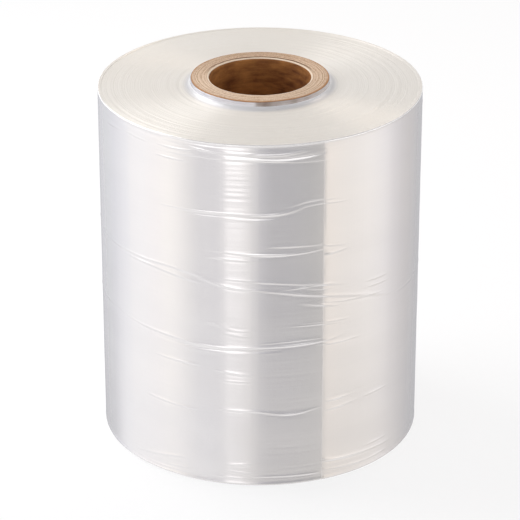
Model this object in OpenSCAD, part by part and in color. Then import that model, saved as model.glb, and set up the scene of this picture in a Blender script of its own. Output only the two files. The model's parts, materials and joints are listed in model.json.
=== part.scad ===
// Stretch wrap roll: clear film wound on a spiral paper core, standing on one end.
// Millimetres. The origin is the centre of the base, +Z runs up the core's axis and -Y is the front.
// An azimuth is counted in degrees from the front, positive towards +X.

/* [Core] */
// Diameter of the hole through the core, the trade's 3 inch bore
bore_d = 76.2; // [40:0.1:110]
// Thickness of the core's wound paper wall
core_wall = 13.2; // [6:0.1:20]
// How far the core stands above the film at the upper end
core_proud = 5.5; // [2:0.1:20]
// Chamfer on the bore's two mouths
core_chamfer = 0.8; // [0.3:0.1:1.5]
// Number of glue lines between the paper plies that show as fine rings on the cut ends
glue_lines = 4; // [0:1:8]
// Width of a glue line
glue_line_w = 0.5; // [0.2:0.1:0.8]
// Depth of a glue line
glue_line_d = 0.2; // [0.1:0.05:0.4]

/* [Film] */
// Width of the film, which is the height of the wound body
film_w = 275; // [150:1:500]
// Depth of film wound on the core, measured along a radius
wound_t = 70; // [20:1:110]
// Step at the film's cut tail, with the air that the last turn traps
tail_step = 0.3; // [0.1:0.05:0.8]
// Azimuth of the cut tail
tail_azimuth = 22.3; // [-180:0.1:180]
// Rounding of the wound body's two rims
rim_round = 1.2; // [0.4:0.1:3]
// Width of the slack outer turns that stand proud of the upper end
lip_w = 2.4; // [1:0.1:6]
// Height of those slack outer turns over the upper end
lip_h = 0.5; // [0.1:0.1:1.5]
// Thickness of the innermost turns that climb the core at the upper end
collar_t = 0.6; // [0.3:0.1:2]
// How far those turns stop below the core's upper end
collar_drop = 0.5; // [0.1:0.1:1.5]
// Radius of the hollow foot where those turns leave the end face
collar_foot = 3.6; // [0.5:0.1:8]

/* [Turns on the ends] */
// Radial distance from one visible turn of the winding to the next
turn_pitch = 6; // [3:0.5:20]
// Width of the spiral line between two visible turns
turn_line_w = 0.6; // [0.4:0.1:2]
// Depth of the spiral line
turn_line_d = 0.3; // [0.1:0.05:1]

/* [Creases] */
// Height of a raised crease over the wall, and depth of a sunk one
crease_h = 0.45; // [0.1:0.05:1]
// Radius of a crease's rounded back
crease_round = 1.6; // [0.8:0.1:3]

/* [Hidden] */
$fn = 144;

// A cutter reaches this far past the face that it cuts
over = 0.1;
// A crease's ring is buried by this angle past the point where it sinks into the wall
bury_angle = 2;
// Steps of the rim's rounding, in degrees
rim_step = 15;

bore_r = bore_d / 2;
core_r = bore_r + core_wall;
core_len = film_w + core_proud;
film_r = core_r + wound_t;
// Radius of the wall beside the tail, under the last turn
under_r = film_r - tail_step;
end_z = film_w - lip_h;
tail_angle = tail_azimuth - 90;

// Creases, one row each: azimuth and height where it starts, azimuth and height where it ends.
// Heights are shares of film_w, so that they stay on a wider or narrower film.
// The first rows run across the front, and the last five carry the longest ones on round the back.
raised_creases = [
    [-21, 0.984, 23, 0.970],
    [-21, 0.952, 24, 0.946],
    [-37, 0.799, 31, 0.819],
    [-16, 0.694, 23, 0.692],
    [-64, 0.624, -18, 0.616],
    [-10, 0.618, 27, 0.600],
    [-24, 0.600, 0, 0.585],
    [6, 0.570, 50, 0.500],
    [-17, 0.484, -2, 0.466],
    [14, 0.482, 33, 0.474],
    [-60, 0.430, -19, 0.416],
    [-11, 0.412, 32, 0.435],
    [-39, 0.353, -23, 0.354],
    [-17, 0.345, -1, 0.333],
    [-43, 0.223, -23, 0.217],
    [-16, 0.229, 10, 0.218],
    [17, 0.222, 34, 0.243],
    [41, 0.224, 52, 0.223],
    [22, 0.058, 53, 0.046],
    [-49, 0.032, -26, 0.064],
    [70, 0.955, 150, 0.948],
    [-150, 0.790, -95, 0.800],
    [-158, 0.640, -70, 0.626],
    [56, 0.490, 130, 0.500],
    [-140, 0.420, -66, 0.432]
];
sunk_creases = [
    [-24, 0.785, 24, 0.788],
    [-4, 0.710, 24, 0.708],
    [-46, 0.604, -28, 0.600],
    [-3, 0.568, 4, 0.564],
    [-15, 0.317, -2, 0.316],
    [-44, 0.402, -14, 0.397],
    [16, 0.548, 32, 0.532],
    [20, 0.205, 36, 0.211],
    [-14, 0.060, -3, 0.066],
    [-150, 0.612, -90, 0.608]
];

// Shallow ring with a V section, cut down from height z and centred on radius r
module v_ring(r, w, d, z) {
    rotate_extrude()
        polygon([[r - w / 2, z + over], [r - w / 2, z], [r, z - d], [r + w / 2, z], [r + w / 2, z + over]]);
}

// Half of the wound body: its section turned half way round, out to radius r.
// The lip is the slack outer turns, and both rims are rounded by arcs.
module half_body(r) {
    rim = [for (a = [0 : rim_step : 90]) rim_round * [cos(a), sin(a)]];
    n = len(rim) - 1;
    rotate_extrude(angle = 180)
        polygon(concat(
            [[0, 0]],
            [for (i = [n : -1 : 0]) [r - rim_round + rim[i].x, rim_round - rim[i].y]],
            [for (i = [0 : n]) [r - rim_round + rim[i].x, film_w - rim_round + rim[i].y]],
            [[r - lip_w, film_w], [r - lip_w - lip_h, end_z], [0, end_z]]
        ));
}

// The outermost turn is a spiral drawn from two centres. The half turn that starts at the cut tail
// turns about a centre moved half a step along X, and the other half turn about the core's axis,
// so they meet smoothly behind and leave a step of one turn at the tail.
module wound_body() {
    translate([tail_step / 2, 0, 0])
        half_body(film_r - tail_step / 2);
    rotate([0, 0, 180])
        half_body(under_r);
}

// Half of a flat ring centred on radius r, on the side of positive Y
module half_ring(r, w) {
    difference() {
        circle(r = r + w / 2);
        circle(r = r - w / 2);
        translate([-2 * r, -2 * r])
            square([4 * r, 2 * r]);
    }
}

// Spiral line between the visible turns on an end face at height z, drawn from two centres as well.
// It runs inwards from the slack outer turns until the next turn would reach the collar's foot.
module turn_line(z) {
    first = under_r - lip_w - lip_h - turn_line_w;
    room = first - core_r - collar_t - collar_foot - turn_line_w;
    translate([0, 0, z - turn_line_d])
        linear_extrude(turn_line_d + over)
            for (k = [0 : floor(room / turn_pitch) - 1]) {
                r = first - k * turn_pitch;
                translate([turn_pitch / 2, 0])
                    half_ring(r - turn_pitch / 2, turn_line_w);
                rotate([0, 0, 180])
                    half_ring(r - turn_pitch, turn_line_w);
            }
}

// Arc of a round bar whose outer edge leaves the wall at one azimuth and comes back at another.
// Raised, the bar bends tighter than the wall, so it breaks the surface by crease_h in the middle
// and sinks away at both ends. Sunk, it bends wider than the wall and dips into it the same way.
module crease(c, sunk) {
    half = (c[2] - c[0]) / 2;
    middle_z = film_w * (c[1] + c[3]) / 2;
    tilt = atan(film_w * (c[3] - c[1]) / (2 * film_r * sin(half)));
    shift = crease_h / (1 - cos(half));
    raised_r = film_r + crease_h - shift;
    sunk_r = film_r - crease_h + shift;
    reach = asin(film_r * sin(half) / (sunk ? sunk_r : raised_r)) + bury_angle;
    rotate([0, 0, c[0] + half - 90])
        translate([0, 0, middle_z])
            rotate([tilt, 0, 0])
                translate([sunk ? -shift : shift, 0, 0])
                    rotate([0, 0, -reach])
                        rotate_extrude(angle = 2 * reach)
                            translate([sunk ? sunk_r + crease_round : raised_r - crease_round, 0])
                                circle(r = crease_round, $fn = 32);
}

// Collar of the innermost turns, which climb the core's outside from a hollow foot on the end face
module collar() {
    cylinder(r = core_r + collar_t, h = core_len - collar_drop);
    rotate_extrude()
        difference() {
            translate([core_r, end_z - lip_h])
                square([collar_t + collar_foot, collar_foot + lip_h]);
            translate([core_r + collar_t + collar_foot, end_z + collar_foot])
                circle(r = collar_foot);
        }
}

module core() {
    color([0.77, 0.67, 0.58])
        difference() {
            rotate_extrude()
                polygon([
                    [bore_r + core_chamfer, 0],
                    [core_r, 0],
                    [core_r, core_len],
                    [bore_r + core_chamfer, core_len],
                    [bore_r, core_len - core_chamfer],
                    [bore_r, core_chamfer]
                ]);
            for (k = [1 : glue_lines]) {
                r = bore_r + core_chamfer + (core_wall - core_chamfer) * k / (glue_lines + 1);
                v_ring(r, glue_line_w, glue_line_d, core_len);
                mirror([0, 0, 1])
                    v_ring(r, glue_line_w, glue_line_d, 0);
            }
        }
}

module film_roll() {
    color([0.90, 0.89, 0.89])
        difference() {
            union() {
                rotate([0, 0, tail_angle])
                    wound_body();
                collar();
                for (c = raised_creases)
                    crease(c, false);
            }
            translate([0, 0, -over])
                cylinder(r = core_r, h = core_len + 2 * over);
            rotate([0, 0, tail_angle]) {
                turn_line(end_z);
                mirror([0, 0, 1])
                    turn_line(0);
            }
            for (c = sunk_creases)
                crease(c, true);
        }
}

core();
film_roll();
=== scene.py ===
"""Looks of a roll of clear stretch film on a kraft paper core, standing on one end.

Metres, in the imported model's own frame: +Z runs up the core's axis and -Y is the front.
An azimuth is counted in degrees from the front, positive towards +X.
"""

import json
from math import cos, pi, radians, sin

import bpy
import numpy as np
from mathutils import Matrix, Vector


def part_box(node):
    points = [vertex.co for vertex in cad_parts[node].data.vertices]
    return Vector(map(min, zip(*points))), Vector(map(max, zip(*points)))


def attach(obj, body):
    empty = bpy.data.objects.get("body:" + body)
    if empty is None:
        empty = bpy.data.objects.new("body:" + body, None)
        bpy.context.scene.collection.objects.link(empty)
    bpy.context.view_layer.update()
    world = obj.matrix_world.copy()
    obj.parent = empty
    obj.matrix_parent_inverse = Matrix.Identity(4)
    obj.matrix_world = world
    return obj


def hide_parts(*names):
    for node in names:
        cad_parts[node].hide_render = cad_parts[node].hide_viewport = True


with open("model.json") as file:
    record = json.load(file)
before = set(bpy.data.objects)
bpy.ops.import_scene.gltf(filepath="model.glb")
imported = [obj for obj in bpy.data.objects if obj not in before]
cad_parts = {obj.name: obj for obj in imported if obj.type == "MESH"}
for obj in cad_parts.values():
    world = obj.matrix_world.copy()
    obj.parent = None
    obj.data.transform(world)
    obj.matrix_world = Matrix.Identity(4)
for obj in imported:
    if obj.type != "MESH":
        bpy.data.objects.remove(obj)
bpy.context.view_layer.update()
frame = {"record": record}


MM = 0.001
TURN = 2 * pi

# Sizes of the roll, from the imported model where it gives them
MOUNTS = {m["name"]: m for m in frame["record"]["mounts"]}
BORE_R = MOUNTS["core_bore"]["dims"]["r_mm"] * MM
CORE_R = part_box("core")[1].x
CORE_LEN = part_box("core")[1].z
CORE_ROUND = 0.3 * MM
CORE_CHAMFER = 0.8 * MM
PLIES = 20
FILM_W = 275 * MM
FILM_R = 121.28 * MM
RIM_ROUND = 1.2 * MM
LIP_W = 2.4 * MM
LIP_H = 0.5 * MM
TURN_PITCH = 6 * MM
COLLAR_T = 0.6 * MM
COLLAR_FOOT = 3.6 * MM
COLLAR_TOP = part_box("film_roll")[1].z
TAIL_STEP = 0.3 * MM
TAIL_AZIMUTH = 22.3

# Places on the film's upper end
LIP_FOOT_R = FILM_R - LIP_W - LIP_H
END_Z = FILM_W - LIP_H
COLLAR_R = CORE_R + COLLAR_T
FOOT_R = COLLAR_R + COLLAR_FOOT

# The photograph's camera
CAMERA_DISTANCE = 2.079
CAMERA_ELEVATION = radians(24.96)
CAMERA_TARGET_Z = 0.1296
FOCAL_PIXELS = 2712
FRAME_PIXELS = 520
SENSOR_MM = 36


# Shapes


def wave_noise(a, b, seed, count, per_turn, lengths):
    """Smooth random field over two arrays: a sum of cosines of (k a + 2 pi b / length + phase), over the
    root of their number.

    k is a whole number of waves per turn, so the field closes after a full turn of a. Each length is drawn
    from lengths, in the units of b.
    """
    rng = np.random.default_rng(seed)
    total = 0
    for _ in range(count):
        k = rng.integers(per_turn[0], per_turn[1] + 1) * rng.choice([-1, 1])
        length = rng.uniform(*lengths)
        total = total + np.cos(k * a + TURN * b / length + rng.uniform(0, TURN))
    return total / np.sqrt(count)


def smooth_step(x, start, end):
    """0 before start and 1 after end, joined by the curve 3t^2 - 2t^3."""
    t = np.clip((x - start) / (end - start), 0, 1)
    return t * t * (3 - 2 * t)


def from_low(low, share):
    """Goes from low to 1 as a share goes from 0 to 1."""
    return low + (1 - low) * share


def lay_rows(stretches, columns, last_gap):
    """Carries a closed section round the axis, with a row of the grid for each of its points.

    A stretch of the section is a name, a material's number, radii and heights. Given back are the rows'
    names and materials, their radii and heights as grids, and how far along the section each row lies, which
    would be 1 at the far side of the gap between the last row and the first.
    """
    names = np.concatenate([[name] * len(radii) for name, number, radii, heights in stretches])
    row_material = np.concatenate([[number] * len(radii) for name, number, radii, heights in stretches])
    r = np.concatenate([radii for name, number, radii, heights in stretches])
    z = np.concatenate([heights for name, number, radii, heights in stretches])
    travel = np.concatenate([[0], np.cumsum(np.hypot(np.diff(r), np.diff(z)))])
    v = travel / (travel[-1] + last_gap)
    return names, row_material, np.tile(r[:, None], columns), np.tile(z[:, None], columns), v


def ring_mesh(name, r, angle, z, u, v, row_material, materials, flat_rows=None):
    """Mesh of a grid of points whose rows and columns both close on themselves, as on a torus.

    Row i and column j are at the radius, angle and height [i, j]. The UV map takes u along the columns and
    v along the rows, with the last column's far corners at u = 1 and the last row's at v = 1. With the
    radius drawn to the right and the height up, faces point to the right of the way that the rows run.
    The faces of flat_rows keep their edges, and all others are shaded smooth.
    """
    rows, columns = r.shape
    points = np.stack([r * np.cos(angle), r * np.sin(angle), z], axis=-1).reshape(-1, 3)
    i, j = np.meshgrid(np.arange(rows), np.arange(columns), indexing="ij")
    i, j = i.ravel(), j.ravel()
    i2, j2 = (i + 1) % rows, (j + 1) % columns
    faces = np.stack([i * columns + j, i * columns + j2, i2 * columns + j2, i2 * columns + j], axis=-1)
    mesh = bpy.data.meshes.new(name)
    mesh.vertices.add(len(points))
    mesh.vertices.foreach_set("co", points.astype(np.float32).ravel())
    mesh.loops.add(faces.size)
    mesh.loops.foreach_set("vertex_index", faces.astype(np.int32).ravel())
    mesh.polygons.add(len(faces))
    mesh.polygons.foreach_set("loop_start", np.arange(0, faces.size, 4, dtype=np.int32))
    u_far, v_far = np.append(u[1:], 1), np.append(v[1:], 1)
    corners = [(u[j], v[i]), (u_far[j], v[i]), (u_far[j], v_far[i]), (u[j], v_far[i])]
    uv = np.stack([np.stack(corner, axis=-1) for corner in corners], axis=1)
    layer = mesh.uv_layers.new(name="UVMap")
    layer.data.foreach_set("uv", uv.astype(np.float32).ravel())
    for material in materials:
        mesh.materials.append(material)
    mesh.polygons.foreach_set("material_index", row_material[i].astype(np.int32))
    mesh.update(calc_edges=True)
    mesh.validate()
    mesh.shade_smooth()
    if flat_rows is not None:
        mesh.polygons.foreach_set("use_smooth", ~flat_rows[i])
    piece = bpy.data.objects.new(name, mesh)
    bpy.context.scene.collection.objects.link(piece)
    return piece


# Shares of the widths and heights below at which the creases are drawn
CREASE_SLIM = 0.72
CREASE_FLAT = 0.76
# How far a crease wavers from its curve in millimetres, the share of its height that comes and goes on the
# way, and the share of its width that it gains from its ends to full strength
CREASE_WAVER = 0.2
CREASE_FLICKER = 0.2
CREASE_SWELL = 0.45
# Depth of the valley below a crease and its distance from the crease, as shares of height and width
VALLEY_DEPTH = 0.45
VALLEY_OFFSET = 2.4

# Creases of the wall, each a few points of (azimuth in degrees, height in millimetres), its height over
# the wall and its width in millimetres. A negative height is a sunk crease.
CREASES = [
    ([(-22, 271), (-11, 268.8), (5, 266.5), (22, 270)], 0.26, 1.0),
    ([(-21, 263), (-1, 263), (11, 261), (24, 260.2)], 0.26, 0.9),
    ([(-12, 266), (6, 263.8), (23, 265.5)], -0.30, 1.0),
    ([(-37, 219.6), (-25, 220.7), (-15, 221.2), (9, 222.4), (16, 226), (31, 225.5)], 0.32, 0.9),
    ([(-27, 218.5), (-15, 218.6), (9, 219.6), (15, 222)], -0.22, 1.0),
    ([(10, 226.5), (16, 229.5), (27, 229)], 0.25, 0.9),
    ([(4, 195.8), (22, 194.6)], 0.25, 1.0),
    ([(-16, 191.4), (9, 189), (22, 190.8)], 0.40, 1.0),
    ([(23, 185.8), (31, 187.5)], 0.40, 1.1),
    ([(-17, 186), (-1, 184)], 0.30, 1.0),
    ([(-66, 170), (-45, 171.8), (-33, 172.7), (-23, 170), (-16, 165.5)], 0.40, 1.2),
    ([(-52, 168), (-40, 168.5), (-30, 166.5), (-22, 163.8)], 0.35, 1.1),
    ([(-21, 167.5), (-10, 163), (-1, 161.3)], 0.45, 1.0),
    ([(-14, 169.8), (-1, 169)], 0.30, 0.9),
    ([(-4, 168.2), (10, 166.2), (27, 161.2)], 0.35, 1.0),
    ([(-3, 161.8), (10, 158.5), (22, 153.6), (38, 146), (54, 136)], 0.40, 1.1),
    ([(40, 156.3), (50, 155)], 0.25, 1.0),
    ([(15, 149.2), (28, 143)], 0.30, 1.0),
    ([(15, 133), (31, 131)], 0.25, 1.0),
    ([(-18, 134.6), (-10, 128.9), (-2, 128.6)], 0.30, 0.9),
    ([(-13, 126.2), (-4, 123.2)], 0.25, 0.9),
    ([(-62, 118.6), (-45, 116.4), (-32, 115.7), (-24, 114.6), (-14, 113.8), (4, 115.6), (15, 116.4),
      (28, 118), (33, 121)], 0.40, 1.1),
    ([(-40, 112.8), (-24, 111.6), (-8, 111.4), (8, 112.8)], -0.25, 1.3),
    ([(-39, 97), (-23, 97.4)], 0.35, 1.0),
    ([(-16, 95), (-2, 91.8)], 0.35, 1.0),
    ([(-14, 87.2), (-2, 87)], 0.25, 0.9),
    ([(-43, 61.2), (-32, 59.8), (-23, 59.7)], 0.35, 1.0),
    ([(-16, 63.3), (-1, 62.2), (10, 59.6), (22, 62.8)], 0.35, 1.0),
    ([(24, 66), (32, 67)], 0.35, 1.0),
    ([(25, 59), (35, 61)], 0.30, 1.0),
    ([(41, 61.7), (52, 61.4)], 0.30, 1.0),
    ([(-49, 9), (-38, 13.6), (-26, 17.8)], 0.30, 1.0),
    ([(-35, 7), (-24, 8.8)], 0.25, 0.9),
    ([(-13, 16.8), (-3, 18.2)], 0.30, 1.0),
    ([(-16, 6.6), (-3, 5.5)], 0.25, 0.9),
    ([(22, 15.8), (38, 14.6), (53, 12.8)], 0.35, 1.1),
    ([(43, 6.7), (52, 6.5)], 0.25, 0.9),
    # Creases of the back, which the photograph doesn't show
    ([(70, 262), (100, 264), (150, 261)], 0.35, 1.1),
    ([(-150, 217), (-120, 219.5), (-95, 220)], 0.35, 1.1),
    ([(-158, 176), (-120, 174), (-90, 171), (-68, 170.5)], 0.40, 1.2),
    ([(56, 135), (90, 133), (130, 137)], 0.35, 1.1),
    ([(-140, 115), (-100, 113), (-64, 118)], 0.35, 1.1),
    ([(95, 70), (120, 67), (165, 69)], 0.30, 1.1),
    # Thin creases below the upper rim
    ([(-68, 263), (-57, 265)], 0.25, 0.9),
    ([(-54, 266), (-42, 265)], 0.25, 0.9),
    ([(-37, 271), (-29, 270.6), (-22, 269), (-13, 267.4), (-1, 268.4)], 0.28, 0.9),
    ([(-38, 266), (-29, 266), (-21, 268)], 0.25, 0.8),
    ([(-38, 257.6), (-25, 258)], 0.28, 0.8),
    ([(-32, 262.4), (-20, 263.4)], 0.25, 0.8),
    # Thin creases beside the long ones, across the cut tail
    ([(22, 193.6), (31, 191)], 0.25, 0.7),
    ([(9, 161), (21, 162), (30, 159.5)], 0.24, 0.7),
    ([(11, 163.4), (24, 158.2)], 0.22, 0.7),
    ([(19, 150), (29, 146), (35, 145), (49, 142.6)], 0.24, 0.8),
    ([(40, 151.5), (50, 149.6)], 0.22, 0.8),
    ([(11, 131.4), (21, 130.4), (29, 129)], 0.22, 0.7),
    ([(0, 118.4), (12, 119.4), (23, 119)], 0.22, 0.7),
    ([(20, 114.2), (27, 113.4), (36, 113.6)], 0.28, 0.8),
    # Thin creases above the lower rim
    ([(-14, 12.6), (-1, 10)], 0.24, 0.8),
    ([(-3, 7.3), (16, 7.5), (22, 7)], 0.22, 0.8),
    ([(-51, 5.2), (-39, 4), (-29, 4.6)], 0.22, 0.8),
    ([(22, 18), (30, 14.6)], 0.22, 0.7),
    ([(22, 8.8), (48, 5.6)], 0.25, 0.8),
    ([(42, 18.4), (51, 18.4)], 0.22, 0.8),
]


def curve_through(x, places, levels):
    """Smooth curve through points, of cubic pieces: its slope at each point is about that of the line
    through the point's two neighbours."""
    slopes = np.gradient(levels, places)
    k = np.clip(np.searchsorted(places, x) - 1, 0, len(places) - 2)
    span = places[k + 1] - places[k]
    t = np.clip((x - places[k]) / span, 0, 1)
    start = ((2 * t - 3) * t * t + 1) * levels[k] + ((t - 2) * t + 1) * t * span * slopes[k]
    return start + (3 - 2 * t) * t * t * levels[k + 1] + (t - 1) * t * t * span * slopes[k + 1]


def crease_lines(azimuth):
    """Heights in metres of the creases over a row of azimuths in degrees, and their strengths, a row each.

    A crease follows a smooth curve through its points and wavers a little. Its strength fades to its ends as
    sin(pi t)^0.4, and grows and dies a few times on the way, as sin(k azimuth) does.
    """
    lines, strengths = [], []
    for n, (points, *_) in enumerate(CREASES):
        places, levels = (np.array(c, float) for c in zip(*points))
        waver = CREASE_WAVER * np.sin(np.radians(azimuth) * (9 + n % 5) + n)
        along = np.clip((azimuth - places[0]) / (places[-1] - places[0]), 0, 1)
        flicker = 1 - CREASE_FLICKER + CREASE_FLICKER * np.sin(np.radians(azimuth) * (13 + n % 7) + 2 * n)
        lines.append((curve_through(azimuth, places, levels) + waver) * MM)
        strengths.append(np.sin(pi * along) ** 0.4 * flicker)
    return np.array(lines), np.array(strengths)


def crease_relief(azimuth, z):
    """Height of the wall's creases over a grid of heights z, whose columns stand at a row of azimuths.

    Across its line a crease is a peak 1 / (1 + d^2), with a shallow valley of the same form below it, where
    d is the distance from the line in widths. The width shrinks towards the ends with the strength.
    """
    relief = np.zeros_like(z)
    for (_, tall, width), line, strength in zip(CREASES, *crease_lines(azimuth)):
        d = (z - line) / (CREASE_SLIM * width * MM * (1 - CREASE_SWELL + CREASE_SWELL * strength))
        form = 1 / (1 + d ** 2) - VALLEY_DEPTH / (1 + (d + VALLEY_OFFSET) ** 2)
        relief += CREASE_FLAT * tall * MM * strength * form
    return relief


# Columns of the film's mesh, in degrees: close ones in front, where most of the creases are, wide ones
# behind, and at the cut tail a few of its own in place of those beside it
FRONT_SPAN = (-74, 58)
FRONT_PITCH = 1.6
BACK_PITCH = 5
TAIL_CLEAR = 0.9
TAIL_COLUMNS = np.array([-0.6, -0.045, -0.015, 0, 0.03, 0.6])

# Rows of the film's mesh. The wall has more at its creases and over its rippled top, by this share.
BASE_ROWS = 8
RIM_STEPS = 6
WALL_ROWS = 620
MORE_ROWS = 1.5
RIPPLED_TOP = (0.212, 0.216)
END_ROWS = 70
FOOT_STEPS = 9

# Numbers of the film's materials
WALL, EDGES, COLLAR = range(3)


def film_columns():
    """Angles of the mesh's columns, in radians from the cut tail."""
    front = np.arange(*FRONT_SPAN, FRONT_PITCH) - TAIL_AZIMUTH
    behind = np.arange(FRONT_SPAN[1], FRONT_SPAN[0] + 360, BACK_PITCH) - TAIL_AZIMUTH
    clear = np.abs(front) >= TAIL_CLEAR
    return np.sort(np.radians(np.concatenate([front[clear], behind, TAIL_COLUMNS])) % TURN)


def wall_heights():
    """Heights of the wall's rows, which are closest at the creases and over the rippled top."""
    fine = np.linspace(RIM_ROUND, FILM_W - RIM_ROUND, 2600)
    weight = 1 + MORE_ROWS * smooth_step(fine, *RIPPLED_TOP)
    for line in crease_lines(np.arange(-70, 60, 2.0))[0]:
        above_start = smooth_step(fine, line.min() - 4 * MM, line.min() - 2 * MM)
        above_end = smooth_step(fine, line.max() + 2 * MM, line.max() + 4 * MM)
        near = above_start * (1 - above_end)
        weight = np.maximum(weight, 1 + MORE_ROWS * near)
    total = np.cumsum(weight)
    return np.interp(np.linspace(total[0], total[-1], WALL_ROWS), total, fine)


def film_section():
    """The film's closed section, as stretches of rows with a name, a material, radii and heights.

    From the core's foot it runs out along the base, round the lower rim, up the wall, over the lip, in
    along the end face, up the collar's hollow foot, which is a quarter circle, and over the collar to the
    core's outside.
    """
    rim_arc = np.radians(np.linspace(0, 90, RIM_STEPS))[1:-1]
    rim_r = FILM_R - RIM_ROUND * (1 - np.cos(rim_arc))
    rim_z = FILM_W - RIM_ROUND * (1 - np.sin(rim_arc))
    lip_r = FILM_R - np.array([RIM_ROUND, 1.8 * MM, LIP_W - 0.04 * MM, LIP_W])
    end_r = np.append(LIP_FOOT_R, np.linspace(LIP_FOOT_R - 0.04 * MM, FOOT_R, END_ROWS))
    foot_arc = np.radians(np.linspace(0, 90, FOOT_STEPS))[1:]
    foot_r = FOOT_R - COLLAR_FOOT * np.sin(foot_arc)
    foot_z = END_Z + COLLAR_FOOT * (1 - np.cos(foot_arc))
    return [
        ("base", EDGES, np.linspace(CORE_R, FILM_R - RIM_ROUND, BASE_ROWS), np.zeros(BASE_ROWS)),
        ("rim", WALL, FILM_R - RIM_ROUND * (1 - np.sin(rim_arc)), RIM_ROUND * (1 - np.cos(rim_arc))),
        ("wall", WALL, np.full(WALL_ROWS, FILM_R), wall_heights()),
        ("rim", WALL, rim_r[:2], rim_z[:2]),
        ("rim", EDGES, rim_r[2:], rim_z[2:]),
        ("lip", EDGES, lip_r, np.full(len(lip_r), FILM_W)),
        ("end", EDGES, end_r, np.full(len(end_r), END_Z)),
        ("foot", EDGES, foot_r[:5], foot_z[:5]),
        ("foot", COLLAR, foot_r[5:], foot_z[5:]),
        ("collar", COLLAR, np.full(3, COLLAR_R), np.linspace(END_Z + COLLAR_FOOT, COLLAR_TOP, 5)[1:-1]),
        ("collar", COLLAR, np.array([COLLAR_R - 0.1 * MM, CORE_R + 0.1 * MM]), np.full(2, COLLAR_TOP)),
    ]


# Middles and half widths in degrees of the two strips that the fine level waves pucker, how much of the
# waves is left beside the strips and low on the wall, and the heights between which they grow
STRIPS = [(-9.5, 7.5), (150, 12)]
WAVES_BESIDE = 0.08
WAVES_LOW = 0.10
WAVES_GROW = (0.195, 0.232)
# Heights of the wall's fine waves, its slack waves and its folds, and what is left of the folds behind
FINE_WAVE = 0.024 * MM
SLACK_WAVE = 0.05 * MM
FOLD = 0.16 * MM
FOLDS_BEHIND = 0.4


def wall_ripples(a, azimuth, z):
    """Height of the wall's ripples over grids of angle from the tail, azimuth in degrees and height.

    Fine level waves pucker two strips of the wall's upper part. Slack waves are broad, and lowered by 2.5 of
    their heights so that they stay inside the model. The folds near the rims, -A sqrt(n^2 + e^2) of a
    noise n, have thin crests.
    """
    strips = sum(np.exp(-(((azimuth - middle) / half) ** 4)) for middle, half in STRIPS)
    share = from_low(WAVES_BESIDE, strips) * from_low(WAVES_LOW, smooth_step(z, *WAVES_GROW))
    fine = FINE_WAVE * share * wave_noise(a, z, seed=11, count=14, per_turn=(0, 4), lengths=(0.0034, 0.0075))
    slack = wave_noise(a, z, seed=12, count=8, per_turn=(0, 3), lengths=(0.03, 0.12))
    crossing = wave_noise(a, z, seed=13, count=9, per_turn=(1, 9), lengths=(0.0045, 0.011))
    near_rim = np.exp(-((FILM_W - z) / 0.007)) + 0.25 * np.exp(-z / 0.008)
    in_front = smooth_step(azimuth, -60, -40) * (1 - smooth_step(azimuth, 24, 34))
    folds = -FOLD * from_low(FOLDS_BEHIND, in_front) * near_rim * np.sqrt(crossing ** 2 + 0.02)
    return fine + SLACK_WAVE * (slack - 2.5) + folds


# How far the cut tail lifts, over a few degrees, and the relief of the film's upper end
TAIL_LIFT = 0.02 * MM
TAIL_LIFT_SPAN = radians(2.5)
LIP_WAVE = 0.10 * MM
NARROW_RING = 0.10 * MM
WIDE_RING = 0.06 * MM
SPIRAL_DEPTH = 0.06 * MM
SPIRAL_WIDTH = 0.9 * MM
FOOT_PULL = 0.25 * MM
COLLAR_WAVE = 0.12 * MM


def end_relief(a, r):
    """Height of the end face's relief over grids of angle from the tail and radius.

    Turns a little higher or lower than their neighbours make rings, and the line between the visible turns
    is a spiral groove exp(-d^2), where d is the distance from it in widths. Both die out at the collar.
    """
    rings = NARROW_RING * wave_noise(a, r, seed=31, count=16, per_turn=(0, 3), lengths=(0.003, 0.008))
    rings += WIDE_RING * wave_noise(a, r, seed=32, count=5, per_turn=(0, 2), lengths=(0.012, 0.03))
    phase = ((LIP_FOOT_R - r) / TURN_PITCH - a / TURN) % 1
    phase = np.minimum(phase, 1 - phase)
    groove = -SPIRAL_DEPTH * np.exp(-((phase * TURN_PITCH / SPIRAL_WIDTH) ** 2))
    return smooth_step(r, FOOT_R, FOOT_R + 3 * MM) * (rings + groove)


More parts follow.
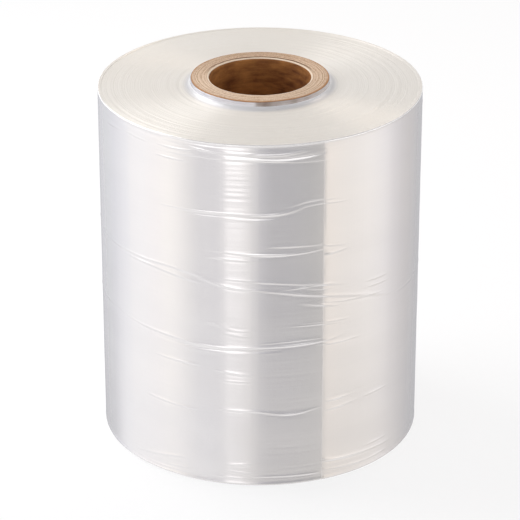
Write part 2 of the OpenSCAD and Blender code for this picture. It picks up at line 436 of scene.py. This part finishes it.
def film_roll(materials):
    """The wound film as one closed mesh. Its outer turn steps down at the cut tail, because the radius falls
    from R as R - step / 2 * (1 - cos turned) over the first half turn and is R - step over the second.

    The wall adds the creases, the ripples and a slightly lifted tail, and the end face its rings. The lip,
    the collar's foot and the collar's top waver, the lip and the top only downwards.
    """
    turned = film_columns()
    azimuth = (np.degrees(turned) + TAIL_AZIMUTH + 180) % 360 - 180
    names, row_material, r, z, v = lay_rows(film_section(), len(turned), COLLAR_TOP)
    a = np.tile(turned, (len(r), 1))
    around = np.tile(azimuth, (len(r), 1))
    wall, lip, end, foot, collar = (names == name for name in ("wall", "lip", "end", "foot", "collar"))

    on_outer = smooth_step(r, LIP_FOOT_R, FILM_R - LIP_W)
    spiral = TAIL_STEP / 2 * (1 - np.cos(np.minimum(a, pi)))
    uneven = wave_noise(0 * a, z, seed=5, count=6, per_turn=(0, 0), lengths=(0.02, 0.09))
    lift = TAIL_LIFT * np.exp(-a / TAIL_LIFT_SPAN) * (1 + uneven)
    r = r - on_outer * (spiral - lift)

    height = z[wall]
    above_foot = smooth_step(height, 1 * MM, 4 * MM)
    at_top = smooth_step(height, FILM_W - 2.2 * MM, FILM_W - 1.0 * MM)
    relief = wall_ripples(a[wall], around[wall], height) + crease_relief(azimuth, height)
    r[wall] += above_foot * (1 - at_top) * relief

    waver = wave_noise(a[lip], 0 * a[lip], seed=21, count=8, per_turn=(2, 11), lengths=(1, 2))
    z[lip] += LIP_WAVE * (waver - 1)
    z[end] += end_relief(a[end], r[end])
    pull = wave_noise(a[foot], 0 * a[foot], seed=41, count=7, per_turn=(1, 7), lengths=(1, 2))
    r[foot] += FOOT_PULL * pull * np.sin(pi * (r[foot] - CORE_R - COLLAR_T) / COLLAR_FOOT)
    waver = wave_noise(a[collar], 0 * a[collar], seed=42, count=6, per_turn=(2, 9), lengths=(1, 2))
    z[collar] += COLLAR_WAVE * (waver - 2)

    angle = a + radians(TAIL_AZIMUTH - 90)
    return ring_mesh("film_roll_wound", r, angle, z, turned / TURN, v, row_material, materials)


# Rows and columns of the core's mesh. Each ply's edge has rows at three shares of its thickness.
CORE_COLUMNS = 200
CORE_FOOT_ROWS = 6
CORE_SIDE_ROWS = 4
BORE_ROWS = 130
PLY = (CORE_R - BORE_R - CORE_CHAMFER) / PLIES
PLY_ROWS = np.array([0.02, 0.5, 0.97])

# Relief of the plies' edges: how many millimetres they end below the core's length, and how far they lean
# outwards and fray
PLY_RECESS = 0.10
PLY_LEAN = 0.15 * MM
PLY_FRAY = 0.04 * MM

# Relief of the bore: its spiral seam, and the slow waves of its wall
SEAM_PITCH = 0.118
SEAM_DEPTH = 0.16 * MM
SEAM_WIDTH = 1.1 * MM
BORE_WAVE = 0.05 * MM

# Numbers of the core's materials
CUT_END, INNER_PLY = range(2)


def core_section():
    """The core's closed section, as stretches of rows with a name, a material, radii and heights: out along
    the foot, up the outside, in over the plies' edges, round the bore's mouth and down the bore."""
    foot_r = np.linspace(BORE_R + CORE_CHAMFER, CORE_R - CORE_ROUND, CORE_FOOT_ROWS)
    side_z = np.linspace(CORE_ROUND, CORE_LEN - CORE_ROUND, CORE_SIDE_ROWS)
    edges = np.concatenate([BORE_R + CORE_CHAMFER + PLY * (k + PLY_ROWS) for k in range(PLIES)])[::-1]
    mouth_r = np.array([BORE_R + 0.5 * CORE_CHAMFER])
    mouth_z = np.array([CORE_LEN - 0.5 * CORE_CHAMFER])
    bore_z = np.linspace(CORE_LEN - CORE_CHAMFER, CORE_CHAMFER, BORE_ROWS)
    return [
        ("foot", CUT_END, foot_r, np.zeros(CORE_FOOT_ROWS)),
        ("side", CUT_END, np.full(CORE_SIDE_ROWS, CORE_R), side_z),
        ("edges", CUT_END, edges, np.full(len(edges), CORE_LEN)),
        ("mouth", CUT_END, mouth_r, mouth_z),
        ("bore", INNER_PLY, np.full(BORE_ROWS, BORE_R), bore_z),
    ]


def core_tube(materials):
    """The paper core as one closed mesh: a revolved section whose upper end steps from ply to ply.

    Each ply's edge stands a little higher or lower than the next and leans outwards like a shingle. The
    bore's wall has the shallow spiral seam of its innermost ply, a groove exp(-d^2) along the heights
    pitch * (whole number - angle / turn), where d is the distance from it in widths.
    """
    names, row_material, r, z, v = lay_rows(core_section(), CORE_COLUMNS, 2 * CORE_CHAMFER)
    angles = np.linspace(0, TURN, CORE_COLUMNS, endpoint=False)
    a = np.tile(angles, (len(r), 1))
    edges, bore = names == "edges", names == "bore"

    rng = np.random.default_rng(7)
    recess = np.sort(rng.uniform(-PLY_RECESS, 0, PLIES))[rng.permutation(PLIES)] * MM
    plies_out = (r[edges] - BORE_R - CORE_CHAMFER) / PLY
    own_recess = recess[np.clip(plies_out.astype(int), 0, PLIES - 1)]
    fibres = wave_noise(a[edges], 1.7 * r[edges], seed=9, count=12, per_turn=(3, 23), lengths=(0.0008, 0.004))
    z[edges] += own_recess - PLY_LEAN * (plies_out % 1) + PLY_FRAY * (fibres - 2)

    height = z[bore]
    along = (height / SEAM_PITCH + a[bore] / TURN) % 1
    off_seam = np.minimum(along, 1 - along) * SEAM_PITCH
    dent = SEAM_DEPTH * np.exp(-((off_seam / SEAM_WIDTH) ** 2))
    waves = BORE_WAVE * wave_noise(a[bore], height, seed=10, count=10, per_turn=(1, 6), lengths=(0.03, 0.2))
    above_foot = smooth_step(height, 2 * MM, 8 * MM)
    at_top = smooth_step(height, CORE_LEN - 8 * MM, CORE_LEN - 2 * MM)
    r[bore] += above_foot * (1 - at_top) * (dent + waves)

    return ring_mesh("paper_core", r, a, z, angles / TURN, v, row_material, materials, flat_rows=edges)


# Materials

# Settings of nodes that are used often
SMOOTH = {"interpolation_type": "SMOOTHSTEP"}
COLOURS = {"data_type": "RGBA"}
NUMBERS = {"data_type": "FLOAT"}
TIMES = {"operation": "MULTIPLY"}
PLUS = {"operation": "ADD"}

# Film and paper both bend light about as glass does
PLAIN_IOR = 1.5
# A quarter turn of the gloss's stretch, so that it runs across the film's turns and not along them
ACROSS_THE_TURNS = 0.25

# Tones of the collar, as (azimuth in degrees, sRGB tone) from the left side round to the left side. The browns
# near the front right are kraft showing through the film; the darker lavender-grey towards the left side is
# painted shade round the core.
COLLAR_TONES_AND_SHADE = [(-90, "#BFC0CA"), (-50, "#C6C7D0"), (-30, "#D5D3DA"), (-5, "#D6D3D9"), (-2.5, "#857369"),
                (30, "#9C8F89"), (75, "#C6C1C2"), (120, "#DAD7DC"), (200, "#D2D1D8"), (270, "#BFC0CA")]


def linear(hex_colour):
    """An sRGB hex colour as a linear RGBA tuple."""
    parts = [int(hex_colour[i:i + 2], 16) / 255 for i in (1, 3, 5)]
    return tuple(c / 12.92 if c <= 0.04045 else ((c + 0.055) / 1.055) ** 2.4 for c in parts) + (1.0,)


def add(tree, kind, settings=None, inputs=None, links=None):
    """Adds a node: settings are its properties, inputs its sockets' values, and links its sockets' sources."""
    node = tree.nodes.new(kind)
    for key, value in (settings or {}).items():
        setattr(node, key, value)
    for key, value in (inputs or {}).items():
        node.inputs[key].default_value = value
    for key, source in (links or {}).items():
        tree.links.new(source, node.inputs[key])
    return node


def set_stops(ramp, tones):
    """Gives a colour ramp its stops, each a place from 0 to 1 and an sRGB tone, in rising order."""
    stops = ramp.color_ramp.elements
    while len(stops) < len(tones):
        stops.new(0.5)
    for stop, (place, tone) in zip(stops, tones):
        stop.position = place
        stop.color = linear(tone)


def new_material(name):
    """An empty node material and its tree."""
    material = bpy.data.materials.new(name)
    material.use_nodes = True
    material.node_tree.nodes.clear()
    return material, material.node_tree


def radius_from_axis(tree, place):
    """Distance of a point from the roll's axis: the length of its place with the height taken out."""
    level = add(tree, "ShaderNodeVectorMath", TIMES, {1: (1, 1, 0)}, {0: place}).outputs[0]
    return add(tree, "ShaderNodeVectorMath", {"operation": "LENGTH"}, links={0: level}).outputs["Value"]


def drawn_out_noise(tree, place, sizes, detail, roughness=0.5):
    """Noise whose grains have these sizes in millimetres along X, Y and Z."""
    scale = [1 / (size * MM) for size in sizes]
    grains = add(tree, "ShaderNodeMapping", inputs={"Scale": scale}, links={"Vector": place}).outputs[0]
    return add(tree, "ShaderNodeTexNoise", inputs={"Scale": 1.0, "Detail": detail, "Roughness": roughness},
               links={"Vector": grains}).outputs["Fac"]


def film_finish(tree, gloss, links):
    """Shader and output of wound film. Its gloss is smeared across the turns, whose way the UV map gives."""
    tangent = add(tree, "ShaderNodeTangent", {"direction_type": "UV_MAP", "uv_map": "UVMap"}).outputs[0]
    shader = add(tree, "ShaderNodeBsdfPrincipled",
                 inputs={"IOR": PLAIN_IOR, "Anisotropic Rotation": ACROSS_THE_TURNS, **gloss},
                 links={"Tangent": tangent, **links})
    add(tree, "ShaderNodeOutputMaterial", links={"Surface": shader.outputs[0]})


def film_wall_material():
    """Blown LLDPE film, wound tight: hundreds of clear layers, one on the other.

    Together they look milky and reflect like a pile of glass plates, about half of the light, which the
    metallic share stands for. Winding draws fine ripples round the roll, so the gloss is sharp along the
    turn and smeared up and down.
    """
    material, tree = new_material("stretch_film_wall")
    place = add(tree, "ShaderNodeTexCoord").outputs["Object"]
    # Level ripples 1.5 to 4 mm apart and a hand's breadth long
    ripples = drawn_out_noise(tree, place, (111, 111, 2.38), detail=3.0, roughness=0.55)
    level = add(tree, "ShaderNodeBump", inputs={"Strength": 0.10, "Distance": 0.6 * MM},
                links={"Height": ripples}).outputs[0]
    # Die lines that run up the film's width, 2 to 4 mm apart round the roll
    die_lines = drawn_out_noise(tree, place, (3.03, 3.03, 500), detail=2.0)
    bump = add(tree, "ShaderNodeBump", inputs={"Strength": 0.06, "Distance": 0.6 * MM},
               links={"Height": die_lines, "Normal": level}).outputs[0]
    milk = drawn_out_noise(tree, place, (167, 167, 40), detail=2.0)
    colour = add(tree, "ShaderNodeMix", COLOURS, {"A": linear("#EDEBEC"), "B": linear("#F6F3F1")},
                 {"Factor": milk}).outputs["Result"]
    film_finish(tree, {"Metallic": 0.52, "Roughness": 0.11, "Anisotropic": 1.0,
                       "Coat Weight": 0.5, "Coat Roughness": 0.06},
                {"Base Color": colour, "Normal": bump, "Coat Normal": bump})
    return material


def film_end_material():
    """The cut edges of the film's turns, thousands side by side: creamy and half matte, with a sheen along
    the rings."""
    material, tree = new_material("stretch_film_edges")
    place = add(tree, "ShaderNodeTexCoord").outputs["Object"]
    radius = radius_from_axis(tree, place)
    # One turn is about 0.02 mm thick, too thin to show, so rings of turns 0.4 to 2 mm wide are drawn
    rings = add(tree, "ShaderNodeTexNoise", {"noise_dimensions": "1D"},
                {"Scale": 1 / (1.11 * MM), "Detail": 3.0, "Roughness": 0.6}, {"W": radius}).outputs["Fac"]
    bump = add(tree, "ShaderNodeBump", inputs={"Strength": 0.6, "Distance": 0.5 * MM},
               links={"Height": rings}).outputs[0]
    cloud = add(tree, "ShaderNodeTexNoise", inputs={"Scale": 1 / (111 * MM), "Detail": 2.0},
                links={"Vector": place}).outputs["Fac"]
    creamy = add(tree, "ShaderNodeMix", COLOURS, {"A": linear("#F0E9E0"), "B": linear("#F6F2ED")},
                 {"Factor": cloud}).outputs["Result"]
    # A lavender-grey ring of painted shade lies round the collar, where the end face runs into the collar's
    # foot
    painted_shade_ring = add(tree, "ShaderNodeMapRange", SMOOTH,
               {"From Min": CORE_R + 8 * MM, "From Max": CORE_R + 1 * MM, "To Max": 0.6},
               {"Value": radius}).outputs[0]
    colour = add(tree, "ShaderNodeMix", COLOURS, {"B": linear("#CFD1DC")},
                 {"Factor": painted_shade_ring, "A": creamy}).outputs["Result"]
    film_finish(tree, {"Metallic": 0.26, "Roughness": 0.36, "Anisotropic": 0.9,
                       "Coat Weight": 0.15, "Coat Roughness": 0.2},
                {"Base Color": colour, "Normal": bump})
    return material


def film_collar_material():
    """A few turns drawn up the core. To the right of an edge near the front they cling, so that the kraft
    shows through; elsewhere they are puckered and white, with painted shade in a darker lavender-grey towards
    the left side."""
    material, tree = new_material("stretch_film_collar")
    place = add(tree, "ShaderNodeTexCoord").outputs["Object"]
    xyz = add(tree, "ShaderNodeSeparateXYZ", links={0: place}).outputs
    angle = add(tree, "ShaderNodeMath", {"operation": "ARCTAN2"}, links={0: xyz["Y"], 1: xyz["X"]}).outputs[0]
    # Once round from the left side, where the angle jumps from half a turn on to half a turn back
    share = add(tree, "ShaderNodeMapRange", inputs={"From Min": -pi, "From Max": pi},
                links={"Value": angle}).outputs[0]
    # The ramp gives the collar's tones, with painted shade towards the left side
    ramp = add(tree, "ShaderNodeValToRGB", links={"Fac": share})
    set_stops(ramp, [((azimuth + 90) / 360, tone) for azimuth, tone in COLLAR_TONES_AND_SHADE])
    puckers = add(tree, "ShaderNodeTexNoise", inputs={"Scale": 1 / (11.1 * MM), "Detail": 3.0},
                  links={"Vector": place}).outputs["Fac"]
    faint = add(tree, "ShaderNodeMapRange", inputs={"From Min": 0.35, "From Max": 0.75, "To Max": 0.35},
                links={"Value": puckers}).outputs[0]
    colour = add(tree, "ShaderNodeMix", COLOURS, {"B": linear("#F4F1F2")},
                 {"Factor": faint, "A": ramp.outputs["Color"]}).outputs["Result"]
    film_finish(tree, {"Metallic": 0.35, "Roughness": 0.24, "Anisotropic": 0.9,
                       "Coat Weight": 0.4, "Coat Roughness": 0.12},
                {"Base Color": colour})
    return material


def kraft_end_material():
    """Kraft paperboard, cut across its plies: pale, dry and fibrous. Its plies' lines waver, and its outer
    edge is browner, where the film has rubbed it. A dark line behind the bore is painted shadow, and a pale
    ring round the bore is a painted highlight."""
    material, tree = new_material("kraft_cut_end")
    place = add(tree, "ShaderNodeTexCoord").outputs["Object"]
    radius = radius_from_axis(tree, place)
    waver = add(tree, "ShaderNodeTexNoise", inputs={"Scale": 1 / (18.2 * MM), "Detail": 2.0},
                links={"Vector": place}).outputs["Fac"]
    shift = add(tree, "ShaderNodeMath", TIMES, {1: 1.6 * MM}, {0: waver}).outputs[0]
    wavy = add(tree, "ShaderNodeMath", PLUS, links={0: radius, 1: shift}).outputs[0]
    # Grains about as wide as a ply is thick
    plies = add(tree, "ShaderNodeTexNoise", {"noise_dimensions": "1D"},
                {"Scale": 1 / (0.667 * MM), "Detail": 2.0, "Roughness": 0.6}, {"W": wavy}).outputs["Fac"]
    # Real fibres are under 0.1 mm thick, too thin to show, so tufts of them a millimetre wide are drawn
    fibres = add(tree, "ShaderNodeTexNoise",
                 inputs={"Scale": 1 / (1.111 * MM), "Detail": 4.0, "Roughness": 0.65},
                 links={"Vector": place}).outputs["Fac"]
    tone = add(tree, "ShaderNodeMix", NUMBERS, {"Factor": 0.35}, {"A": plies, "B": fibres}).outputs["Result"]
    ramp = add(tree, "ShaderNodeValToRGB", links={"Fac": tone})
    set_stops(ramp, [(0.34, "#9C6F46"), (0.58, "#EAD4BD")])
    rubbed = add(tree, "ShaderNodeMapRange", SMOOTH,
                 {"From Min": CORE_R - 0.5 * MM, "From Max": CORE_R + 0.6 * MM, "To Max": 0.8},
                 {"Value": wavy}).outputs[0]
    # A thin dark line behind the bore is painted shadow, of a gap where a ply has come loose
    gap_shadow_line = add(tree, "ShaderNodeMath", {"operation": "COMPARE"}, {1: BORE_R + 3.4 * MM, 2: 0.6 * MM},
                   {0: wavy}).outputs[0]
    y = add(tree, "ShaderNodeSeparateXYZ", links={0: place}).outputs["Y"]
    behind = add(tree, "ShaderNodeMapRange", SMOOTH, {"From Max": 30 * MM, "To Max": 0.85},
                 {"Value": y}).outputs[0]
    painted_gap_shadow = add(tree, "ShaderNodeMath", TIMES, links={0: gap_shadow_line, 1: behind}).outputs[0]
    # A paler ring round the bore is a painted highlight, where light falls on the bore's chamfered mouth
    painted_chamfer_highlight = add(tree, "ShaderNodeMapRange", SMOOTH,
                    {"From Min": BORE_R + 1.6 * MM, "From Max": BORE_R + 0.9 * MM, "To Max": 0.7},
                    {"Value": radius}).outputs[0]
    colour = ramp.outputs["Color"]
    # The rubbed edge is a stain; the dark gap line is painted shadow and the pale ring is a painted highlight
    for share, stain_and_painted_light in ((rubbed, "#A9703A"), (painted_gap_shadow, "#5C361B"), (painted_chamfer_highlight, "#F2E2CE")):
        colour = add(tree, "ShaderNodeMix", COLOURS, {"B": linear(stain_and_painted_light)},
                     {"Factor": share, "A": colour}).outputs["Result"]
    bump = add(tree, "ShaderNodeBump", inputs={"Strength": 0.35, "Distance": 0.3 * MM},
               links={"Height": fibres}).outputs[0]
    shader = add(tree, "ShaderNodeBsdfPrincipled", inputs={"Roughness": 0.85, "IOR": PLAIN_IOR},
                 links={"Base Color": colour, "Normal": bump})
    add(tree, "ShaderNodeOutputMaterial", links={"Surface": shader.outputs[0]})
    return material


def kraft_bore_material():
    """The core's inner ply: brown kraft with calendered fibres along the paper, a little smoother than the
    cut end, blotched and puckered by the glue under it."""
    material, tree = new_material("kraft_inner_ply")
    place = add(tree, "ShaderNodeTexCoord").outputs["Object"]
    streaks = drawn_out_noise(tree, place, (14.3, 14.3, 4.17), detail=4.0, roughness=0.6)
    blotches = add(tree, "ShaderNodeTexNoise", inputs={"Scale": 1 / (41.7 * MM), "Detail": 2.0},
                   links={"Vector": place}).outputs["Fac"]
    tone = add(tree, "ShaderNodeMix", NUMBERS, {"Factor": 0.35},
               {"A": streaks, "B": blotches}).outputs["Result"]
    ramp = add(tree, "ShaderNodeValToRGB", links={"Fac": tone})
    set_stops(ramp, [(0.32, "#6C3B12"), (0.68, "#C08344")])
    creased = add(tree, "ShaderNodeTexNoise",
                  inputs={"Scale": 1 / (9.09 * MM), "Detail": 2.0, "Distortion": 1.6},
                  links={"Vector": place}).outputs["Fac"]
    puckered = add(tree, "ShaderNodeBump", inputs={"Strength": 0.5, "Distance": 1.2 * MM},
                   links={"Height": creased}).outputs[0]
    bump = add(tree, "ShaderNodeBump", inputs={"Strength": 0.25, "Distance": 0.3 * MM},
               links={"Height": streaks, "Normal": puckered}).outputs[0]
    shader = add(tree, "ShaderNodeBsdfPrincipled", inputs={"Roughness": 0.7, "IOR": PLAIN_IOR},
                 links={"Base Color": ramp.outputs["Color"], "Normal": bump})
    add(tree, "ShaderNodeOutputMaterial", links={"Surface": shader.outputs[0]})
    return material


# Studio

FLOOR_HALF = 6.0
# Light that the floor gives to the camera alone, and how much less it then reflects, so that its shadows
# stay faint
FLOOR_LIFT = 0.72
FLOOR_FAINT = 0.66


def white_floor():
    """A wide pale floor. It shows white to the camera but keeps the roll's shadow, and leaves the gloss to
    the world."""
    corners = [(x * FLOOR_HALF, y * FLOOR_HALF, 0) for x, y in ((-1, -1), (1, -1), (1, 1), (-1, 1))]
    mesh = bpy.data.meshes.new("floor")
    mesh.from_pydata(corners, [], [(0, 1, 2, 3)])
    floor = bpy.data.objects.new("floor", mesh)
    bpy.context.scene.collection.objects.link(floor)
    material, tree = new_material("floor_white")
    seen = add(tree, "ShaderNodeLightPath").outputs["Is Camera Ray"]
    lift = add(tree, "ShaderNodeMath", TIMES, {1: FLOOR_LIFT}, {0: seen}).outputs[0]
    faint = add(tree, "ShaderNodeMath", TIMES, {1: FLOOR_FAINT}, {0: seen}).outputs[0]
    colour = add(tree, "ShaderNodeMix", COLOURS, {"A": linear("#F2F1F3"), "B": linear("#000000")},
                 {"Factor": faint}).outputs["Result"]
    shader = add(tree, "ShaderNodeBsdfPrincipled",
                 inputs={"Roughness": 0.9, "Specular IOR Level": 0.0, "Emission Color": linear("#FFFFFF")},
                 links={"Base Color": colour, "Emission Strength": lift})
    add(tree, "ShaderNodeOutputMaterial", links={"Surface": shader.outputs[0]})
    mesh.materials.append(material)
    floor.visible_glossy = False


# Softboxes and dark cards round the roll, as (azimuth in degrees, sRGB tone). The wall mirrors them at half
# their azimuth.
SOFTBOXES = [(-180, "#A6A6AA"), (-160, "#AEAFB4"), (-140, "#AEB1B6"), (-128, "#B5B7C0"), (-118, "#C3C4CC"),
             (-110, "#CDCFD6"), (-105, "#DCDBDE"), (-92, "#E5E4E6"), (-80, "#EAE6E6"), (-68, "#F0ECE7"),
             (-60, "#E4E0DD"), (-52, "#CCC9C8"), (-44, "#B4B2B6"), (-31, "#B3B1B6"), (-27, "#C3C1C4"),
             (-23, "#D9D6D7"), (-8, "#D1CECE"), (-4, "#B6B4B6"), (-1, "#97959B"), (3, "#7C7B85"),
             (9, "#62616B"), (20, "#605F69"), (36, "#686768"), (45, "#817E7A"), (48.5, "#E2D7CB"),
             (62, "#DFD8D0"), (84, "#E6E1DD"), (98, "#DDD9D9"), (112, "#BEBABC"), (130, "#A9A5A5"),
             (150, "#9F9FA2"), (180, "#A6A6AA")]
SOFTBOX_GAIN = 1.41
# Upright strip light that the wall's ripples mirror: how bright it is, and the spans of azimuth and of
# elevation over which it sets in from each side
STRIP_BRIGHT = 0.60
STRIP_AZIMUTHS = [(-26, -21), (-7, -14)]
STRIP_ELEVATIONS = [(-24.2, -21.2), (-6, -12)]

# Tones of the floor as the gloss sees it: to the left, in front, to the right and behind. Each lies over
# those before it. The second sets in over this span of a direction's X, the third over spans of azimuth,
# and the last over this span of how far a direction points to the front.
FLOOR_TONES = ("#F8F8FA", "#D0CDCA", "#DDD7D0", "#B4B4B8")
FLOOR_IN_FRONT = (-0.6, 0.05)
FLOOR_TO_THE_RIGHT = [(44, 50), (120, 95)]
FLOOR_BEHIND = (-0.38, -0.68)

# Tones that change one way, as (start, end, tone at the start, tone at the end). The belt over the
# softboxes and the ceiling change from behind to the front. The floor close to the roll, which only the
# undersides of creases mirror, is darkest right under the roll, whose lower rim mirrors that. The glint, a
# low belt that only tilted film mirrors, changes from left of the dark card to the card.
BELT = (-0.6, 0.0, 0.50, 1.06)
CEILING = (-0.6, 0.2, 0.66, 0.51)
CLOSE_FLOOR = (-0.96, -0.87, 0.62, 1.0)
GLINT = (radians(-3), radians(3), 2.3, 1.5)
# What the glint gains right of the card, and the spans of azimuth over which that sets in from each side
GLINT_GAIN = 1.0
GLINT_RIGHT = [(45, 48.5), (110, 80)]

# Spans of elevation in degrees over which each layer covers those before it
FLOOR_FROM = [(-46, -35)]
SOFTBOXES_FROM = [(-32, -23)]
BELT_FROM = [(-10, 0)]
CEILING_FROM = [(16, 34)]
GLINT_FROM = [(-12, -7), (6, 2)]


def grey(level):
    """A neutral colour of a linear level, which may pass 1."""
    return (level, level, level, 1)


def studio_world():
    """World light in layers, from straight down to straight up: the floor close to the roll, the floor
    further off, softboxes and dark cards whose tone depends on azimuth, a belt that is bright in front, and
    a dim ceiling, with the glint laid over the horizon. The camera sees plain white.

    Only gloss sees what is under the horizon, because the floor hides it from all other light.
    """
    world = bpy.data.worlds.new("studio")
    bpy.context.scene.world = world
    world.use_nodes = True
    tree = world.node_tree
    tree.nodes.clear()
    direction = add(tree, "ShaderNodeTexCoord").outputs["Generated"]
    xyz = add(tree, "ShaderNodeSeparateXYZ", links={0: direction}).outputs
    side, up = xyz["X"], xyz["Z"]
    front = add(tree, "ShaderNodeMath", TIMES, {1: -1.0}, {0: xyz["Y"]}).outputs[0]
    azimuth = add(tree, "ShaderNodeMath", {"operation": "ARCTAN2"}, links={0: side, 1: front}).outputs[0]

    def window(azimuths=(), elevations=()):
        """Product of smooth steps from 0 to 1, each over a span of azimuths or of elevations in degrees."""
        steps = [(azimuth, radians(start), radians(end)) for start, end in azimuths]
        steps += [(up, sin(radians(start)), sin(radians(end))) for start, end in elevations]
        product = None
        for value, start, end in steps:
            step = add(tree, "ShaderNodeMapRange", SMOOTH, {"From Min": start, "From Max": end},
                       {"Value": value}).outputs[0]
            if product is None:
                product = step
            else:
                product = add(tree, "ShaderNodeMath", TIMES, links={0: product, 1: step}).outputs[0]
        return product

    graded = []
    for value, (start, end, low, high) in (
            (front, BELT), (front, CEILING), (up, CLOSE_FLOOR), (azimuth, GLINT),
            (side, (*FLOOR_IN_FRONT, 0, 1)), (front, (*FLOOR_BEHIND, 0, 1))):
        graded.append(add(tree, "ShaderNodeMapRange", SMOOTH,
                          {"From Min": start, "From Max": end, "To Min": low, "To Max": high},
                          {"Value": value}).outputs[0])
    belt, ceiling, close_floor, glint, in_front, behind = graded

    share = add(tree, "ShaderNodeMapRange", inputs={"From Min": -pi, "From Max": pi},
                links={"Value": azimuth}).outputs[0]
    ramp = add(tree, "ShaderNodeValToRGB", links={"Fac": share})
    set_stops(ramp, [((place + 180) / 360, tone) for place, tone in SOFTBOXES])
    softboxes = add(tree, "ShaderNodeMix", {**COLOURS, "blend_type": "MULTIPLY"},
                    {"Factor": 1.0, "B": grey(SOFTBOX_GAIN)}, {"A": ramp.outputs["Color"]}).outputs["Result"]
    softboxes = add(tree, "ShaderNodeMix", {**COLOURS, "blend_type": "ADD"}, {"B": grey(STRIP_BRIGHT)},
                    {"Factor": window(STRIP_AZIMUTHS, STRIP_ELEVATIONS), "A": softboxes}).outputs["Result"]

    floor = add(tree, "ShaderNodeMix", COLOURS, {"A": linear(FLOOR_TONES[0]), "B": linear(FLOOR_TONES[1])},
                {"Factor": in_front}).outputs["Result"]
    for share, tone in zip((window(FLOOR_TO_THE_RIGHT), behind), FLOOR_TONES[2:]):
        floor = add(tree, "ShaderNodeMix", COLOURS, {"B": linear(tone)},
                    {"Factor": share, "A": floor}).outputs["Result"]
    glint = add(tree, "ShaderNodeMath", {"operation": "MULTIPLY_ADD"}, {1: GLINT_GAIN},
                {0: window(GLINT_RIGHT), 2: glint}).outputs[0]

    light = close_floor
    for spans, tone in ((FLOOR_FROM, floor), (SOFTBOXES_FROM, softboxes), (BELT_FROM, belt),
                        (CEILING_FROM, ceiling), (GLINT_FROM, glint)):
        light = add(tree, "ShaderNodeMix", COLOURS,
                    links={"Factor": window(elevations=spans), "A": light, "B": tone}).outputs["Result"]
    path = add(tree, "ShaderNodeLightPath").outputs["Is Camera Ray"]
    seen = add(tree, "ShaderNodeMix", COLOURS, {"B": grey(1)}, {"Factor": path, "A": light}).outputs["Result"]
    shader = add(tree, "ShaderNodeBackground", inputs={"Strength": 1.0}, links={"Color": seen})
    add(tree, "ShaderNodeOutputWorld", links={"Surface": shader.outputs[0]})


def area_lamp(name, azimuth, elevation, distance, size, power, colour):
    """A square softbox at an azimuth, elevation and distance from the roll's middle, facing it."""
    lamp = bpy.data.lights.new(name, "AREA")
    lamp.shape = "SQUARE"
    lamp.size = size
    lamp.energy = power
    lamp.color = linear(colour)[:3]
    holder = bpy.data.objects.new(name, lamp)
    across = distance * cos(radians(elevation))
    holder.location = (across * sin(radians(azimuth)), -across * cos(radians(azimuth)),
                       FILM_W / 2 + distance * sin(radians(elevation)))
    holder.rotation_euler = (radians(90 - elevation), 0, radians(azimuth))
    bpy.context.scene.collection.objects.link(holder)


def photo_camera():
    """The photograph's camera, looking at the axis from the front and from above."""
    data = bpy.data.cameras.new("camera")
    data.sensor_width = SENSOR_MM
    data.lens = FOCAL_PIXELS / FRAME_PIXELS * SENSOR_MM
    camera = bpy.data.objects.new("camera", data)
    camera.location = (0, -CAMERA_DISTANCE * cos(CAMERA_ELEVATION),
                       CAMERA_TARGET_Z + CAMERA_DISTANCE * sin(CAMERA_ELEVATION))
    camera.rotation_euler = (pi / 2 - CAMERA_ELEVATION, 0, 0)
    bpy.context.scene.collection.objects.link(camera)
    bpy.context.scene.camera = camera


photo_camera()

film = film_roll([film_wall_material(), film_end_material(), film_collar_material()])
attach(film, "root")
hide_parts("film_roll")

core = core_tube([kraft_end_material(), kraft_bore_material()])
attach(core, "root")
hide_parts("core")

white_floor()
studio_world()
area_lamp("key_softbox", azimuth=-115, elevation=46, distance=1.15, size=0.85, power=6.8, colour="#FFFFFF")
area_lamp("fill_softbox", azimuth=140, elevation=45, distance=1.6, size=0.5, power=2.4, colour="#FFF0E0")

view = bpy.context.scene.view_settings
view.view_transform = "Standard"
